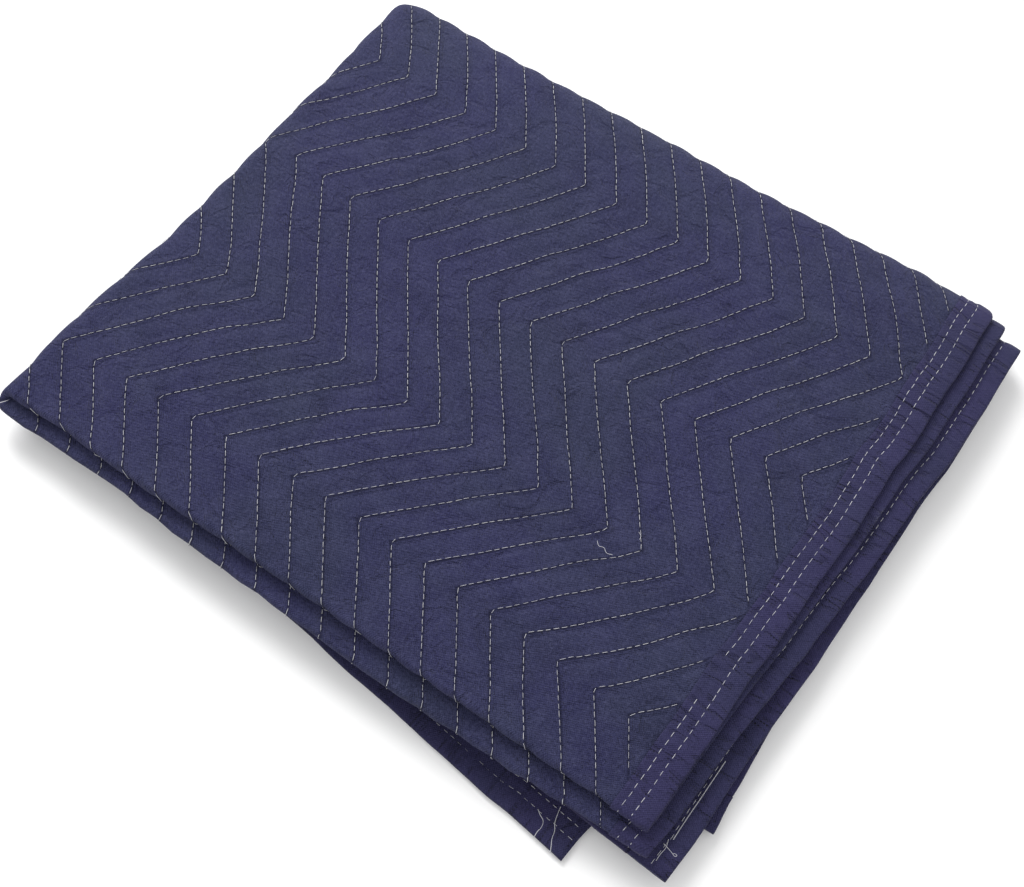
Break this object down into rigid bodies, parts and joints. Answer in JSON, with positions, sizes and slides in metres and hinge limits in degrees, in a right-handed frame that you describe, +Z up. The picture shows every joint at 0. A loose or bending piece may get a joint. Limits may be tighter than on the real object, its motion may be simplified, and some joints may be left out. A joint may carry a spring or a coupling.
{
  "type": "folded quilted moving blanket",
  "caption": "Quilted moving blanket with taped edges, folded flat into a rectangular packet of layers that lies on one face.",
  "frame": {"origin": "middle of the bounding box at the surface the packet lies on", "axes": "+X along the packet's long side, from the closed crease to the taped ends; +Y from the two rolls to the far turn; +Z up"},
  "size_m": [0.5618, 0.503, 0.0406],
  "materials": {
    "quilted_cloth": "dull woven navy cotton-polyester, zigzag quilted in off-white thread",
    "edge_tape": "dull smooth indigo tape with two rows of off-white stitches"
  },
  "bodies": {
    "root": {"quilted_panel": "quilted_cloth", "side_tape_upper": "edge_tape", "side_tape_lower": "edge_tape", "end_tape_outer": "edge_tape", "end_tape_inner": "edge_tape"}
  },
  "joints": []
}
